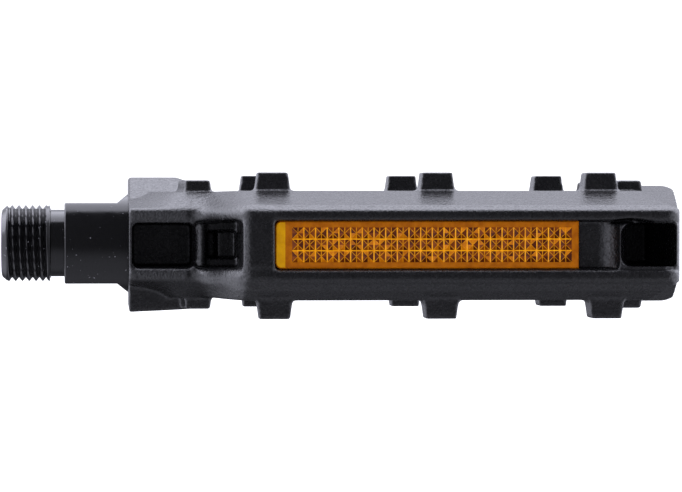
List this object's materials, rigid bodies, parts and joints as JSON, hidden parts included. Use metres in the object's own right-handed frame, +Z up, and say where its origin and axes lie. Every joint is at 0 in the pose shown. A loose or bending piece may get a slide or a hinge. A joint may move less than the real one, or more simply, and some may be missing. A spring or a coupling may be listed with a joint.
{
  "type": "flat pedal",
  "caption": "Resin platform pedal with moulded grip studs on both faces, amber reflectors in its front and rear rails, and a threaded spindle turning on two ball bearings.",
  "frame": {"origin": "centre of the spindle shoulder that seats on the crank arm, on the spindle's axis", "axes": "+X outboard along the spindle, away from the crank; +Z up through the upper tread; -Y is the front rail"},
  "size_m": [0.1257, 0.094, 0.026],
  "materials": {
    "body_resin": "fine-grained moulded resin",
    "cap_resin": "satin moulded resin",
    "backing_resin": "smooth moulded resin",
    "amber_lens": "clear amber with a moulded prism field",
    "spindle_steel": "black coated steel, satin gloss",
    "race_steel": "ground bearing steel",
    "ball_steel": "polished bearing steel",
    "cage_steel": "pressed sheet steel",
    "shield_steel": "pressed sheet steel",
    "zinc_steel": "bright zinc plate",
    "seal_rubber": "soft black rubber"
  },
  "bodies": {
    "spindle": {"spindle": "spindle_steel", "adjusting_cone": "race_steel", "lock_washer": "zinc_steel", "lock_nut": "zinc_steel"},
    "platform": {"pedal_body": "body_resin", "inner_bearing_cup": "race_steel", "outer_bearing_cup": "race_steel", "inner_dust_seal": "seal_rubber", "seal_shield": "shield_steel", "dust_cap": "cap_resin", "cap_o_ring": "seal_rubber", "front_reflector_lens": "amber_lens", "front_reflector_backing": "backing_resin", "front_reflector_screws": "zinc_steel", "rear_reflector_lens": "amber_lens", "rear_reflector_backing": "backing_resin", "rear_reflector_screws": "zinc_steel"},
    "inner_ball_set": {"inner_balls": "ball_steel", "inner_ball_cage": "cage_steel"},
    "outer_ball_set": {"outer_balls": "ball_steel", "outer_ball_cage": "cage_steel"}
  },
  "joints": [
    {"name": "platform_spin", "type": "hinge", "parent": "spindle", "child": "platform", "pos_m": [0, 0, 0], "axis": [1, 0, 0], "continuous": true},
    {"name": "inner_ball_orbit", "type": "hinge", "parent": "spindle", "child": "inner_ball_set", "pos_m": [0.017, 0, 0], "axis": [1, 0, 0], "continuous": true},
    {"name": "outer_ball_orbit", "type": "hinge", "parent": "spindle", "child": "outer_ball_set", "pos_m": [0.1019, 0, 0], "axis": [1, 0, 0], "continuous": true}
  ],
  "couplings": [
    {"joint": "inner_ball_orbit", "follows": "platform_spin", "ratio": 0.6047},
    {"joint": "outer_ball_orbit", "follows": "platform_spin", "ratio": 0.6039}
  ]
}
